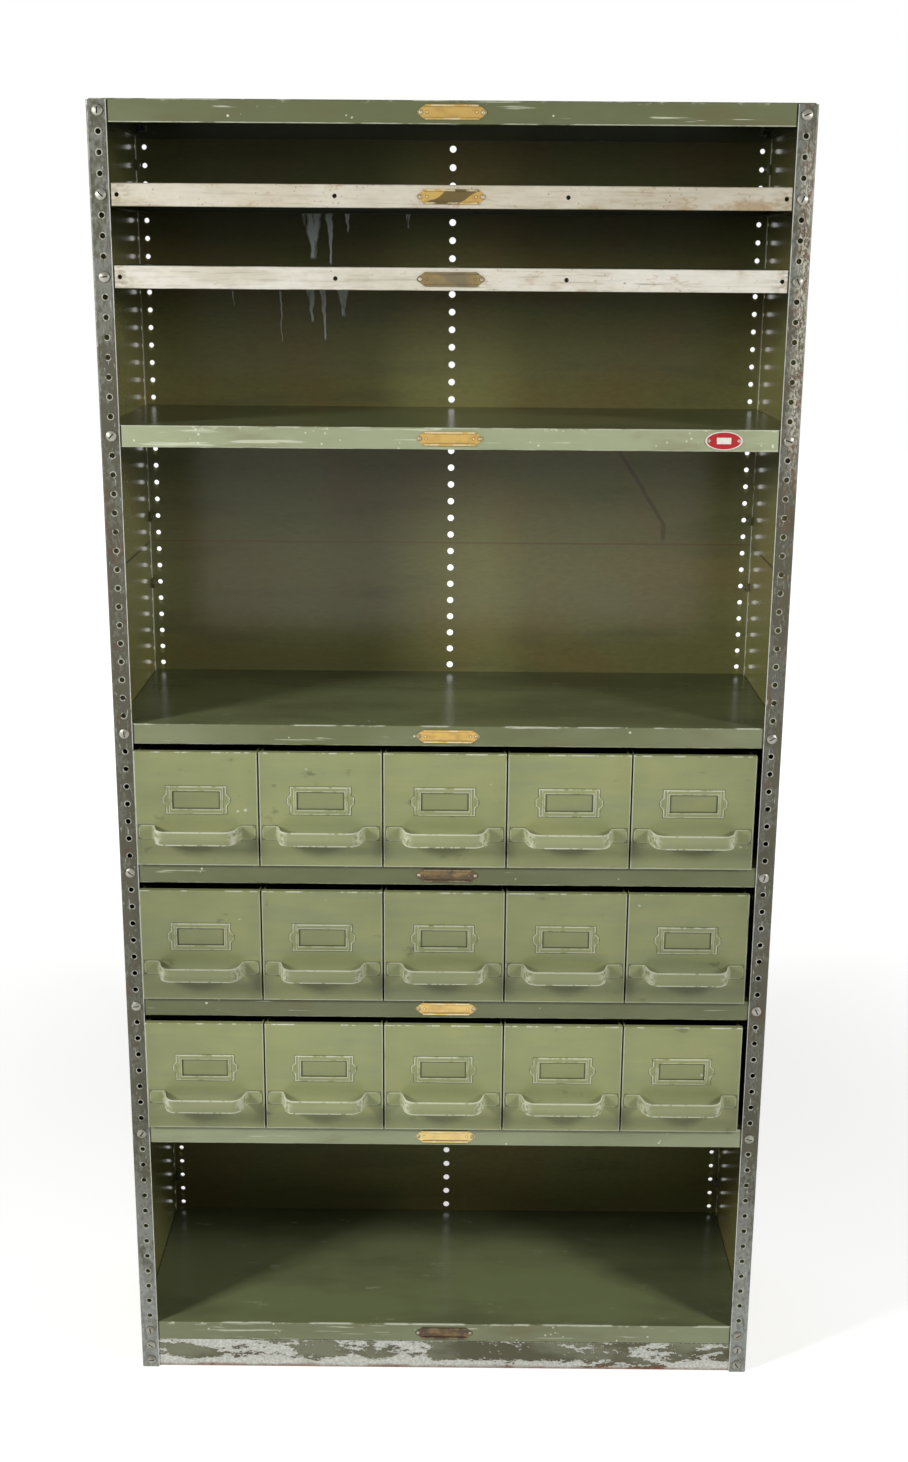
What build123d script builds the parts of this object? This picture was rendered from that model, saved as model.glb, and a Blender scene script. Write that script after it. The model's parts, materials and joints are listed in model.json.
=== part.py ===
from build123d import *
import os

# Bolted steel shelving unit with three rows of shelf boxes. Millimetres, +Z up, +X to the right as one
# faces the unit, +Y from front to back. The origin is the middle of the overall box at floor level.

# Posts: rolled steel angle, punched every inch along both legs
hole_pitch = 25.4
post_hole_count = 72
post_leg = 25.4
post_wall = 1.9
post_bend_radius = 2.6
post_hole_diameter = 7.1
hole_gauge = 14.3
column_spacing = 888.0
unit_depth = 310.0

# Sheets that close the sides and the back, each in a 24 inch and a 48 inch length
panel_wall = 0.9
panel_seam_hole = 24
panel_end_clearance = 0.3
panel_floor_gap = 1.0
window_hole_diameter = 9.6

# Shelves: pans with joggled front corners
shelf_holes = (0, 4, 8, 16, 32, 40, 48, 56, 69)
shelf_wall = 1.2
shelf_flange = 28.6
shelf_rise = 14.3
shelf_return = 12.0
shelf_bend_radius = 1.5
shelf_nose_gap = 2.4
shelf_side_clearance = 0.4
bare_front_shelves = (2, 3)
divider_hole_diameter = 5.7
divider_hole_inset = 6.5
divider_hole_middle = 148.0

# Kick plate under the lowest shelf
base_holes = (70, 71)
base_strip_gap_below = 1.0
base_strip_gap_above = 0.7
base_strip_return = 10.0

# Slotted bolts, rivets and square nuts
bolt_diameter = 6.35
bolt_head_diameter = 14.0
bolt_head_height = 3.5
bolt_head_edge = 1.2
low_head_diameter = 12.5
low_head_height = 2.0
low_head_edge = 0.8
slot_width = 1.6
slot_depth = 1.2
bolt_end_reach = 2.2
bolt_end_chamfer = 0.6
nut_width = 11.1
nut_height = 5.0
nut_bore_clearance = 0.2
nut_corner_chamfer = 0.8
slot_angle_step = 67.0
side_bolt_holes = (2, 22, 26, 44, 66)

# Label holders riveted to the middle of each shelf front
label_length = 87.0
label_height = 18.5
label_straight = 66.0
label_wall = 0.7
label_card_gap = 0.8
label_lip = 2.8
label_tip_radius = 3.0
label_rivet_inset = 4.0
label_dimple_spacing = 62.0
label_dimple_diameter = 3.2
label_dimple_height = 0.5
dark_labels = (3, 6, 9)
rivet_diameter = 3.0
rivet_hole_clearance = 0.2
rivet_head_diameter = 4.8
rivet_head_height = 1.2
rivet_tail_diameter = 4.4
rivet_tail_height = 0.8

# Oval badge riveted to the fourth shelf
badge_shelf = 4
badge_place = 359.0
badge_length = 49.0
badge_height = 24.0
badge_wall = 0.8
badge_rim = 1.5
badge_relief = 0.4
badge_panel_length = 19.0
badge_panel_height = 8.4
badge_rivet_spacing = 40.0

# Shelf boxes: five in a row on each of the sixth, seventh and eighth shelves, counted from the top
box_shelves = (6, 7, 8)
boxes_in_row = 5
box_pitch = 171.8
box_row_gap_left = 0.9
box_width = 169.5
box_height = 165.0
box_depth = 292.0
box_wall = 1.0
box_bend_radius = 1.4
box_front_return = 8.0
box_front_proud = 6.0
box_shell_clearance = 0.05
box_shell_drop = 5.0
box_hem = 8.0
box_slide_clearance = 0.3

# Card frame and strap handle on each box
frame_width = 84.0
frame_height = 40.0
frame_wall = 0.9
frame_raised_width = 75.0
frame_relief = 1.9
frame_window_width = 66.0
frame_window_height = 25.6
frame_corner_radius = 1.5
frame_drop = 69.0
frame_ear_reach = 4.5
frame_ear_height = 17.0
frame_ear_tip = 7.0
frame_ear_radius = 2.0
frame_bump_diameter = 4.0
frame_bump_height = 0.7
frame_edge_chamfer = 0.5
card_slot_width = 71.0
card_slot_height = 33.0
card_slot_depth = 0.9
handle_length = 162.0
handle_height = 20.0
handle_wall = 1.6
handle_reach = 30.0
handle_pad = 21.0
handle_lean = 8.0
handle_drop = 116.0
handle_pad_radius = 6.0
handle_foot_radius = 4.0
handle_bend_radius = 16.0
handle_edge_radius = 0.5

# Worked out from the driving dimensions
unit_width = column_spacing + 2 * hole_gauge
post_height = post_hole_count * hole_pitch
column = column_spacing / 2
opening_half = unit_width / 2 - post_leg
whole_depth = unit_depth + box_front_proud + handle_reach + bolt_head_height
front_face = box_front_proud + handle_reach - whole_depth / 2
back_face = front_face + unit_depth
side_face = unit_width / 2
side_inside = side_face - post_wall
back_inside = back_face - post_wall
shelf_half = side_inside - panel_wall - shelf_side_clearance
shelf_back = back_inside - panel_wall
post_inside = front_face + post_wall
nose_half = opening_half - shelf_nose_gap
label_rivet_place = label_length / 2 - label_rivet_inset


def hole_height(number):
    """Height of a post hole above the floor, counted from 0 at the top."""
    return post_height - hole_pitch * (number + 0.5)


def deck_height(shelf):
    """Height of a shelf's top, with the shelves counted from 1 at the top."""
    return hole_height(shelf_holes[shelf - 1]) + shelf_rise


def save(piece, name):
    """Label one finished piece and write it."""
    piece.label = name
    export_step(piece, f"parts/{name}.step")


def save_mirrored(piece, name):
    """Write the right-hand twin of a left-hand piece."""
    save(mirror(piece, about=Plane.YZ), name)


def build_post():
    """Left post at the front, with its corner on the outer faces."""
    with BuildPart() as post:
        with BuildSketch():
            with Locations((-side_face, front_face)):
                Rectangle(post_leg, post_wall, align=(Align.MIN, Align.MIN))
                Rectangle(post_wall, post_leg, align=(Align.MIN, Align.MIN))
        extrude(amount=post_height)
        corners = post.edges().filter_by(Axis.Z).sort_by(lambda edge: edge.center().X + edge.center().Y)
        fillet(corners[0], post_bend_radius)
        with BuildSketch(Plane.XZ.offset(-front_face)):
            with Locations((-column, post_height / 2)):
                with GridLocations(hole_pitch, hole_pitch, 1, post_hole_count):
                    Circle(post_hole_diameter / 2)
        extrude(amount=-post_wall, mode=Mode.SUBTRACT)
        with BuildSketch(Plane.YZ.offset(-side_face)):
            with Locations((front_face + hole_gauge, post_height / 2)):
                with GridLocations(hole_pitch, hole_pitch, 1, post_hole_count):
                    Circle(post_hole_diameter / 2)
        extrude(amount=post_wall, mode=Mode.SUBTRACT)
    return post.part


def save_posts():
    """Four equal posts, mirrored into the corners."""
    post = build_post()
    save(post, "post_front_left")
    save_mirrored(post, "post_front_right")
    rear = mirror(post, about=Plane.XZ.offset(-(front_face + back_face) / 2))
    save(rear, "post_rear_left")
    save_mirrored(rear, "post_rear_right")


def build_side_panel(first_hole, last_hole, bottom, top):
    """Sheet inside the left posts, punched along both edges."""
    front = post_inside + panel_end_clearance
    back = shelf_back - panel_end_clearance
    with BuildPart() as panel:
        with BuildSketch(Plane.YZ.offset(-side_inside)):
            with Locations(((front + back) / 2, (bottom + top) / 2)):
                Rectangle(back - front, top - bottom)
            for number in range(first_hole, last_hole):
                with Locations(
                    (front_face + hole_gauge, hole_height(number)),
                    (back_face - hole_gauge, hole_height(number)),
                ):
                    Circle(post_hole_diameter / 2, mode=Mode.SUBTRACT)
        extrude(amount=panel_wall)
    return panel.part


def build_back_panel(first_hole, last_hole, bottom, top):
    """Back sheet, punched at both posts and with larger holes down its middle."""
    with BuildPart() as panel:
        with BuildSketch(Plane.XZ.offset(-shelf_back)):
            with Locations((0, (bottom + top) / 2)):
                Rectangle(2 * (side_inside - panel_end_clearance), top - bottom)
            for number in range(first_hole, last_hole):
                with Locations((-column, hole_height(number)), (column, hole_height(number))):
                    Circle(post_hole_diameter / 2, mode=Mode.SUBTRACT)
                with Locations((0, hole_height(number))):
                    Circle(window_hole_diameter / 2, mode=Mode.SUBTRACT)
        extrude(amount=-panel_wall)
    return panel.part


def save_panels():
    """Upper and lower sheets, butted at the seam."""
    seam = post_height - panel_seam_hole * hole_pitch
    lengths = (
        ("upper", 0, panel_seam_hole, seam, post_height),
        ("lower", panel_seam_hole, post_hole_count, panel_floor_gap, seam),
    )
    for level, first_hole, last_hole, bottom, top in lengths:
        side = build_side_panel(first_hole, last_hole, bottom, top)
        save(side, f"side_panel_left_{level}")
        save_mirrored(side, f"side_panel_right_{level}")
        save(build_back_panel(first_hole, last_hole, bottom, top), f"back_panel_{level}")


def front_hole_places(shelf):
    """Places and diameters of the holes in one shelf's front flange, besides its bolt holes."""
    rivet_hole = rivet_diameter + rivet_hole_clearance
    places = [(side * label_rivet_place, rivet_hole) for side in (-1, 1)]
    if shelf in bare_front_shelves:
        for place in (divider_hole_middle, nose_half - divider_hole_inset):
            places += [(-place, divider_hole_diameter), (place, divider_hole_diameter)]
    if shelf == badge_shelf:
        places += [(badge_place + side * badge_rivet_spacing / 2, rivet_hole) for side in (-1, 1)]
    return places


def build_shelf_blank():
    """Pan open below, with its nose between the posts, at the height of its bolt holes."""
    bottom = shelf_rise - shelf_flange
    with BuildPart() as shelf:
        with BuildSketch(Plane.XY.offset(bottom)) as outline:
            with Locations((0, front_face)):
                Rectangle(2 * nose_half, post_leg, align=(Align.CENTER, Align.MIN))
            with Locations((0, post_inside)):
                Rectangle(2 * shelf_half, shelf_back - post_inside, align=(Align.CENTER, Align.MIN))
        extrude(amount=shelf_flange)
        with BuildSketch(Plane.XY.offset(bottom)) as hollow:
            add(offset(outline.sketch, amount=-shelf_wall, kind=Kind.INTERSECTION, mode=Mode.PRIVATE))
        extrude(amount=shelf_flange - shelf_wall, mode=Mode.SUBTRACT)
        with BuildSketch(Plane.XY.offset(bottom)) as lip:
            add(hollow.sketch)
            with Locations((0, (front_face + shelf_back) / 2)):
                depth = shelf_back - front_face
                Rectangle(2 * (shelf_half - shelf_return), depth - 2 * shelf_return, mode=Mode.SUBTRACT)
        extrude(amount=shelf_wall)
        fillet(shelf.edges().filter_by(Axis.X).group_by(Axis.Y)[0], shelf_bend_radius)
        deck_edges = shelf.edges().group_by(Axis.Z)[-1].filter_by(Axis.Y)
        fillet(deck_edges.filter_by(lambda edge: edge.length > post_leg), shelf_bend_radius)
        with BuildSketch(Plane.XZ.offset(-front_face)):
            with Locations((-column, 0), (column, 0)):
                Circle(post_hole_diameter / 2)
        extrude(amount=-unit_depth, mode=Mode.SUBTRACT)
    return shelf.part


def save_shelves():
    """Nine shelves from one blank, each with the holes of what its front carries."""
    blank = build_shelf_blank()
    for shelf in range(1, len(shelf_holes) + 1):
        with BuildPart() as punched:
            add(blank)
            with BuildSketch(Plane.XZ.offset(-front_face)):
                for place, diameter in front_hole_places(shelf):
                    with Locations((place, 0)):
                        Circle(diameter / 2)
            extrude(amount=-2 * shelf_wall, mode=Mode.SUBTRACT)
        raised = Pos(0, 0, hole_height(shelf_holes[shelf - 1])) * punched.part
        save(raised, f"shelf_{shelf}")


def save_base_strip():
    """Channel behind the front posts that closes the gap under the lowest shelf."""
    top = deck_height(len(shelf_holes)) - shelf_flange - base_strip_gap_above
    middle = (top + base_strip_gap_below) / 2
    height = top - base_strip_gap_below
    with BuildPart() as strip:
        with BuildSketch(Plane.YZ.offset(-shelf_half)):
            with Locations((post_inside, middle)):
                Rectangle(base_strip_return, height, align=(Align.MIN, Align.CENTER))
            with Locations((post_inside + shelf_wall, middle)):
                inside = height - 2 * shelf_wall
                Rectangle(base_strip_return, inside, align=(Align.MIN, Align.CENTER), mode=Mode.SUBTRACT)
        extrude(amount=2 * shelf_half)
        fillet(strip.edges().filter_by(Axis.X).group_by(Axis.Y)[0], shelf_bend_radius)
        with BuildSketch(Plane.XZ.offset(-post_inside)):
            for number in base_holes:
                with Locations((-column, hole_height(number)), (column, hole_height(number))):
                    Circle(post_hole_diameter / 2)
        extrude(amount=-shelf_wall, mode=Mode.SUBTRACT)
    save(strip.part, "base_strip")


def build_bolt(head_diameter, head_height, head_edge, grip):
    """Slotted bolt along +Z with its head below the origin. The grip is the sheet that it clamps."""
    radius = bolt_diameter / 2
    reach = grip + nut_height + bolt_end_reach
    with BuildPart() as bolt:
        with BuildSketch(Plane.XZ):
            with BuildLine():
                Line((0, -head_height), (0, reach))
                Line((0, reach), (radius, reach))
                Line((radius, reach), (radius, 0))
                Line((radius, 0), (head_diameter / 2, 0))
                Line((head_diameter / 2, 0), (head_diameter / 2, -head_edge))
                crown = head_height - head_edge
                crown_radius = ((head_diameter / 2) ** 2 + crown**2) / (2 * crown)
                RadiusArc((head_diameter / 2, -head_edge), (0, -head_height), crown_radius)
            make_face()
        revolve(axis=Axis.Z)
        chamfer(bolt.edges().filter_by(GeomType.CIRCLE).sort_by(Axis.Z)[-1], bolt_end_chamfer)
        with BuildSketch(Plane.XY.offset(-head_height)):
            Rectangle(head_diameter, slot_width)
        extrude(amount=slot_depth, mode=Mode.SUBTRACT)
    return bolt.part


def build_nut():
    """Square nut along +Z, seated on the origin's plane."""
    with BuildPart() as nut:
        with BuildSketch():
            Rectangle(nut_width, nut_width)
            Circle((bolt_diameter + nut_bore_clearance) / 2, mode=Mode.SUBTRACT)
        extrude(amount=nut_height)
        chamfer(nut.faces().sort_by(Axis.Z)[-1].outer_wire().edges(), nut_corner_chamfer)
    return nut.part


def build_rivet(grip):
    """Round rivet along +Z through the given thickness, with its tail set."""
    radius = rivet_diameter / 2
    with BuildPart() as rivet:
        with BuildSketch(Plane.XZ):
            with BuildLine():
                Line((0, -rivet_head_height), (0, grip + rivet_tail_height))
                Line((0, grip + rivet_tail_height), (rivet_tail_diameter / 2, grip + rivet_tail_height))
                Line((rivet_tail_diameter / 2, grip + rivet_tail_height), (rivet_tail_diameter / 2, grip))
                Line((rivet_tail_diameter / 2, grip), (radius, grip))
                Line((radius, grip), (radius, 0))
                Line((radius, 0), (rivet_head_diameter / 2, 0))
                crown = (rivet_head_diameter**2 / 4 + rivet_head_height**2) / (2 * rivet_head_height)
                RadiusArc((rivet_head_diameter / 2, 0), (0, -rivet_head_height), crown)
            make_face()
        revolve(axis=Axis.Z)
    return rivet.part


def group(piece, seats):
    """Copies of one piece, one on each seat, kept as separate solids."""
    return Compound(children=[place * piece for place in seats])


def seat(place, normal, turn):
    """Location at a place, looking along a normal and turned about it."""
    return Plane(place, z_dir=normal).location * Rotation(0, 0, turn)


def save_shelf_fasteners():
    """Bolts through the posts into the shelves and the base strip, and their nuts."""
    front_places = [(side * column, hole_height(k)) for k in shelf_holes + base_holes for side in (-1, 1)]
    rear_places = [(side * column, hole_height(k)) for k in shelf_holes for side in (-1, 1)]
    rear_grip = post_wall + panel_wall + shelf_wall
    front_bolt = build_bolt(bolt_head_diameter, bolt_head_height, bolt_head_edge, post_wall + shelf_wall)
    rear_bolt = build_bolt(bolt_head_diameter, bolt_head_height, bolt_head_edge, rear_grip)
    front_heads = []
    rear_heads = []
    nuts = []
    for index, (x, z) in enumerate(front_places):
        turn = index * slot_angle_step
        front_heads.append(seat((x, front_face, z), (0, 1, 0), turn))
        nuts.append(seat((x, post_inside + shelf_wall, z), (0, 1, 0), turn))
    for index, (x, z) in enumerate(rear_places):
        turn = index * slot_angle_step
        rear_heads.append(seat((x, back_face, z), (0, -1, 0), turn))
        nuts.append(seat((x, shelf_back - shelf_wall, z), (0, -1, 0), turn))
    save(group(front_bolt, front_heads), "front_bolts")
    save(group(rear_bolt, rear_heads), "rear_bolts")
    save(group(build_nut(), nuts), "shelf_nuts")


def save_side_fasteners():
    """Low-headed bolts that hold the side sheets to the posts."""
    columns = (front_face + hole_gauge, back_face - hole_gauge)
    places = [(side, y, hole_height(k)) for k in side_bolt_holes for y in columns for side in (-1, 1)]
    bolt = build_bolt(low_head_diameter, low_head_height, low_head_edge, post_wall + panel_wall)
    heads = []
    backs = []
    for index, (side, y, z) in enumerate(places):
        heads.append(seat((side * side_face, y, z), (-side, 0, 0), index * slot_angle_step))
        inside = side * (side_inside - panel_wall)
        backs.append(seat((inside, y, z), (-side, 0, 0), index * slot_angle_step))
    save(group(bolt, heads), "side_bolts")
    save(group(build_nut(), backs), "side_nuts")


def build_label_holder():
    """Long hexagon with both edges folded into card lips and a dimple at each end, raised along +Z."""
    half = label_height / 2
    with BuildPart() as holder:
        with BuildSketch():
            Rectangle(label_straight, label_height)
            tip = label_length / 2 - label_tip_radius
            with Locations((-tip, 0), (tip, 0)):
                Circle(label_tip_radius)
            make_hull()
            with Locations((-label_rivet_place, 0), (label_rivet_place, 0)):
                Circle((rivet_diameter + rivet_hole_clearance) / 2, mode=Mode.SUBTRACT)
        extrude(amount=label_wall)
        with BuildSketch(Plane.XY.offset(label_wall)):
            with Locations((-label_dimple_spacing / 2, 0), (label_dimple_spacing / 2, 0)):
                Circle(label_dimple_diameter / 2)
        extrude(amount=label_dimple_height, taper=20)
        rise = 2 * label_wall + label_card_gap
        with BuildSketch(Plane.YZ.offset(-label_straight / 2)):
            for side in (-1, 1):
                with Locations((side * (half - label_wall / 2), rise / 2)):
                    Rectangle(label_wall, rise)
                with Locations((side * (half - label_lip / 2), rise - label_wall / 2)):
                    Rectangle(label_lip, label_wall)
        extrude(amount=label_straight)
    return holder.part


def save_label_holders():
    """One holder on every shelf front, brass and bronzed ones apart, and their rivets."""
    holder = build_label_holder()
    rivet = build_rivet(label_wall + shelf_wall)
    bright = []
    dark = []
    rivets = []
    for shelf, number in enumerate(shelf_holes, start=1):
        z = hole_height(number)
        front = Plane((0, front_face, z), x_dir=(1, 0, 0), z_dir=(0, -1, 0)).location
        if shelf in dark_labels:
            dark.append(front)
        else:
            bright.append(front)
        for side in (-1, 1):
            head = (side * label_rivet_place, front_face - label_wall, z)
            rivets.append(seat(head, (0, 1, 0), 0))
    save(group(holder, bright), "label_holders_brass")
    save(group(holder, dark), "label_holders_bronzed")
    save(group(rivet, rivets), "label_rivets")


def save_badge():
    """Oval plate with a raised rim and a raised blank panel, and its two rivets."""
    z = hole_height(shelf_holes[badge_shelf - 1])
    face = Plane((badge_place, front_face, z), x_dir=(1, 0, 0), z_dir=(0, -1, 0))
    with BuildPart() as badge:
        with BuildSketch(face) as oval:
            Ellipse(badge_length / 2, badge_height / 2)
            with Locations((-badge_rivet_spacing / 2, 0), (badge_rivet_spacing / 2, 0)):
                Circle((rivet_diameter + rivet_hole_clearance) / 2, mode=Mode.SUBTRACT)
        extrude(amount=badge_wall)
        with BuildSketch(face.offset(badge_wall)):
            Ellipse(badge_length / 2, badge_height / 2)
            Ellipse(badge_length / 2 - badge_rim, badge_height / 2 - badge_rim, mode=Mode.SUBTRACT)
            Rectangle(badge_panel_length, badge_panel_height)
        extrude(amount=badge_relief)
    save(badge.part, "badge_plate")
    rivet = build_rivet(badge_wall + shelf_wall)
    head_y = front_face - badge_wall
    heads = [
        seat((badge_place + side * badge_rivet_spacing / 2, head_y, z), (0, 1, 0), 0) for side in (-1, 1)
    ]
    save(group(rivet, heads), "badge_rivets")


def build_box():
    """Open box with its front's outer face on Y = 0, standing on Z = 0 and centred on X = 0."""
    shell_width = box_width - 2 * (box_wall + box_shell_clearance)
    shell_height = box_height - box_shell_drop
    with BuildPart() as box:
        with BuildSketch() as footprint:
            Rectangle(shell_width, box_depth, align=(Align.CENTER, Align.MIN))
            fillet(footprint.vertices().group_by(Axis.Y)[-1], box_bend_radius)
        extrude(amount=shell_height)
        with BuildSketch(Plane.XY.offset(box_wall)):
            add(offset(footprint.sketch, amount=-box_wall, kind=Kind.INTERSECTION, mode=Mode.PRIVATE))
        extrude(amount=shell_height, mode=Mode.SUBTRACT)
        with BuildSketch(Plane.XY.offset(shell_height - box_hem)):
            add(footprint.sketch)
            add(
                offset(footprint.sketch, amount=-2 * box_wall, kind=Kind.INTERSECTION, mode=Mode.PRIVATE),
                mode=Mode.SUBTRACT,
            )
        extrude(amount=box_hem)
        with BuildSketch():
            Rectangle(box_width, box_front_return, align=(Align.CENTER, Align.MIN))
            with Locations((0, box_wall)):
                width = box_width - 2 * box_wall
                Rectangle(width, box_front_return, align=(Align.CENTER, Align.MIN), mode=Mode.SUBTRACT)
        extrude(amount=box_height)
        with BuildSketch(Plane.XY.offset(box_height - box_wall)):
            Rectangle(box_width, box_front_return, align=(Align.CENTER, Align.MIN))
        extrude(amount=box_wall)
        front = box.faces().sort_by(Axis.Y)[0]
        fillet(front.outer_wire().edges().sort_by(Axis.Z)[1:], box_wall)
    return box.part


def build_card_frame():
    """Card frame with a raised surround, two riveted ears and a pocket behind its window."""
    face = Plane((0, 0, box_height - frame_drop), x_dir=(1, 0, 0), z_dir=(0, -1, 0))
    ear = frame_width / 2 + frame_ear_reach
    with BuildPart() as frame:
        with BuildSketch(face) as flange:
            Rectangle(frame_width, frame_height)
            with BuildLine():
                Polyline(
                    (-ear, frame_ear_tip / 2),
                    (-frame_width / 2, frame_ear_height / 2),
                    (frame_width / 2, frame_ear_height / 2),
                    (ear, frame_ear_tip / 2),
                    (ear, -frame_ear_tip / 2),
                    (frame_width / 2, -frame_ear_height / 2),
                    (-frame_width / 2, -frame_ear_height / 2),
                    (-ear, -frame_ear_tip / 2),
                    close=True,
                )
            make_face()
            tips = flange.vertices().group_by(Axis.X)
            fillet(tips[0] + tips[-1], frame_ear_radius)
        extrude(amount=frame_wall)
        with BuildSketch(face):
            RectangleRounded(frame_raised_width, frame_height, frame_corner_radius)
        extrude(amount=frame_relief)
        with BuildSketch(face):
            Rectangle(frame_window_width, frame_window_height)
        extrude(amount=frame_relief, mode=Mode.SUBTRACT)
        chamfer(frame.faces().sort_by(Axis.Y)[0].edges(), frame_edge_chamfer)
        with BuildSketch(face):
            Rectangle(card_slot_width, card_slot_height)
        extrude(amount=card_slot_depth, mode=Mode.SUBTRACT)
        with BuildSketch(face.offset(frame_wall)):
            bump = frame_width / 2 + frame_ear_reach - frame_bump_diameter / 2 - frame_wall
            with Locations((-bump, 0), (bump, 0)):
                Circle(frame_bump_diameter / 2)
        extrude(amount=frame_bump_height)
    return frame.part


def build_handle():
    """Strap handle: two flat pads on the box front and a bar that stands off between them."""
    half_wall = handle_wall / 2
    foot = handle_length / 2 - handle_pad
    bar = foot - handle_lean
    out = handle_reach - half_wall
    with BuildPart() as handle:
        with BuildSketch(Plane.XY.offset(box_height - handle_drop - handle_height / 2)):
            with BuildLine() as path:
                FilletPolyline(
                    (-handle_length / 2, -half_wall),
                    (-foot, -half_wall),
                    (-bar, -out),
                    (bar, -out),
                    (foot, -half_wall),
                    (handle_length / 2, -half_wall),
                    radius=[handle_foot_radius, handle_bend_radius, handle_bend_radius, handle_foot_radius],
                )
            trace(path.line, line_width=handle_wall)
        extrude(amount=handle_height)
        ends = handle.edges().filter_by(Axis.Y).group_by(Axis.X)
        fillet(ends[0] + ends[-1], handle_pad_radius)
        upright = handle.faces().filter_by(lambda face: abs(face.normal_at().Z) < 0.1)
        outside = upright.filter_by(lambda face: face.normal_at().Y < -0.1)
        fillet(outside.edges().filter_by(lambda edge: abs(edge.tangent_at(0).Z) < 0.99), handle_edge_radius)
    return handle.part


def save_boxes():
    """Three rows of five boxes, each with its card frame and handle."""
    box = build_box()
    fittings = [build_card_frame(), build_handle()]
    first = -opening_half + box_row_gap_left + box_width / 2
    for row, shelf in enumerate(box_shelves, start=1):
        for number in range(boxes_in_row):
            height = deck_height(shelf) + box_slide_clearance
            place = Location((first + number * box_pitch, front_face - box_front_proud, height))
            save(place * box, f"drawer_{row}_{number + 1}_tray")
            hardware = Compound(children=[place * fitting for fitting in fittings])
            save(hardware, f"drawer_{row}_{number + 1}_hardware")


os.makedirs("parts", exist_ok=True)
save_posts()
save_panels()
save_shelves()
save_base_strip()
save_shelf_fasteners()
save_side_fasteners()
save_label_holders()
save_badge()
save_boxes()
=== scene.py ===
"""Looks of a bolted steel shelving unit with fifteen shelf boxes. Metres, +Z up, the front faces -Y."""

import json
import math
import bmesh
import bpy
from mathutils import Matrix, Vector

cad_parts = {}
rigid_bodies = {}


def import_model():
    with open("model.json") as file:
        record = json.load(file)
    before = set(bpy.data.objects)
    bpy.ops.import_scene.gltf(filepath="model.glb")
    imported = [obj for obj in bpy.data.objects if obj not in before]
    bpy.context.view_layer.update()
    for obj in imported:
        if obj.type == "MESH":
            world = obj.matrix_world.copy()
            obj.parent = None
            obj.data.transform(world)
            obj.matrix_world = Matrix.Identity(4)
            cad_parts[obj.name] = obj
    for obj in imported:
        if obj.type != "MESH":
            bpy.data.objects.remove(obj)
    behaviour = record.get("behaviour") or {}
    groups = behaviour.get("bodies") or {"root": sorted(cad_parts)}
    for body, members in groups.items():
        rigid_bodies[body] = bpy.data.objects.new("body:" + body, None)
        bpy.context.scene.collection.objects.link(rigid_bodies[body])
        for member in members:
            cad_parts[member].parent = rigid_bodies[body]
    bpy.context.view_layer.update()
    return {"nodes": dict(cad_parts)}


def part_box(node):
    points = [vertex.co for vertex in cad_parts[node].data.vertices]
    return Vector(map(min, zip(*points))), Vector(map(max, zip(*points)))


for leftover in list(bpy.data.objects):
    bpy.data.objects.remove(leftover)
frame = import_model()

bl_info = {
    "name": "Steel Shelving Unit",
    "version": (1, 0, 0),
    "blender": (4, 5, 0),
    "location": "View3D > Sidebar > Shelving",
    "description": "Paint, metal and wear for a bolted steel shelving unit with shelf boxes, and its studio",
    "category": "Object",
}

# Places read from the frame
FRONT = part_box("post_front_left")[0].y
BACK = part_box("post_rear_left")[1].y
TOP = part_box("post_front_left")[1].z
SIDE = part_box("post_front_right")[1].x
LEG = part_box("post_front_left")[1].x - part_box("post_front_left")[0].x
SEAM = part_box("back_panel_upper")[0].z
SHELVES = range(1, 10)
ROWS = range(1, 4)
COLUMNS = range(1, 6)

# Punched holes, shelf flanges and bolt heads
HOLE_PITCH = 0.0254
HOLE_COLUMN = SIDE - 0.0143
HOLE_RADIUS = 0.00355
SHELF_WALL = 0.0012
FLANGE_MIDDLE = 0.0143
BOLT_HEAD_HEIGHT = 0.0035
BOLT_EDGE_HEIGHT = 0.0012
BOLT_HEAD_RADIUS = 0.007

# Card frame of a box: its middle above the box's foot, then half widths, half heights and the ears' slope
CARD_FRAME_CENTRE = 0.096
CARD_PLATE = (0.042, 0.020)
CARD_WINDOW = (0.033, 0.0128)
CARD_RAISED_HALF = 0.0375
CARD_EAR_REACH = 0.0465
CARD_EAR_HALF = 0.0085
CARD_EAR_SLOPE = 1.11

# Handle of a box: heights of its bar and of its top above the box's foot, and its half width
HANDLE_BAR = (0.039, 0.059)
HANDLE_TOP = 0.061
HANDLE_END = 0.081

# Label holder, from its middle: crease height, and where its dimples and rivets are
LABEL_CREASE = 0.0066
LABEL_DIMPLE = 0.031
LABEL_RIVET = 0.0395

# Half sizes of the badge's panel
BADGE_PANEL = (0.0095, 0.0042)

# Painted shade lies above the first height inside the unit and is full at the second. The lowest bay has a
# little.
SHADE_HEIGHTS = (1.58, 1.68)
LOW_BAY_MIDDLE = 0.29
# Painted light: how much lighter the side sheets are painted than the back
SIDES_PAINTED_LIGHTER = 0.12
# Soft shadow on the back of the fourth bay: its middle and half width, and where it fades above and below
BACK_SHADOW = (-0.07, 0.16)
SHADOW_ABOVE = (1.44, 1.36)
SHADOW_BELOW = (0.98, 1.03)
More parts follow.
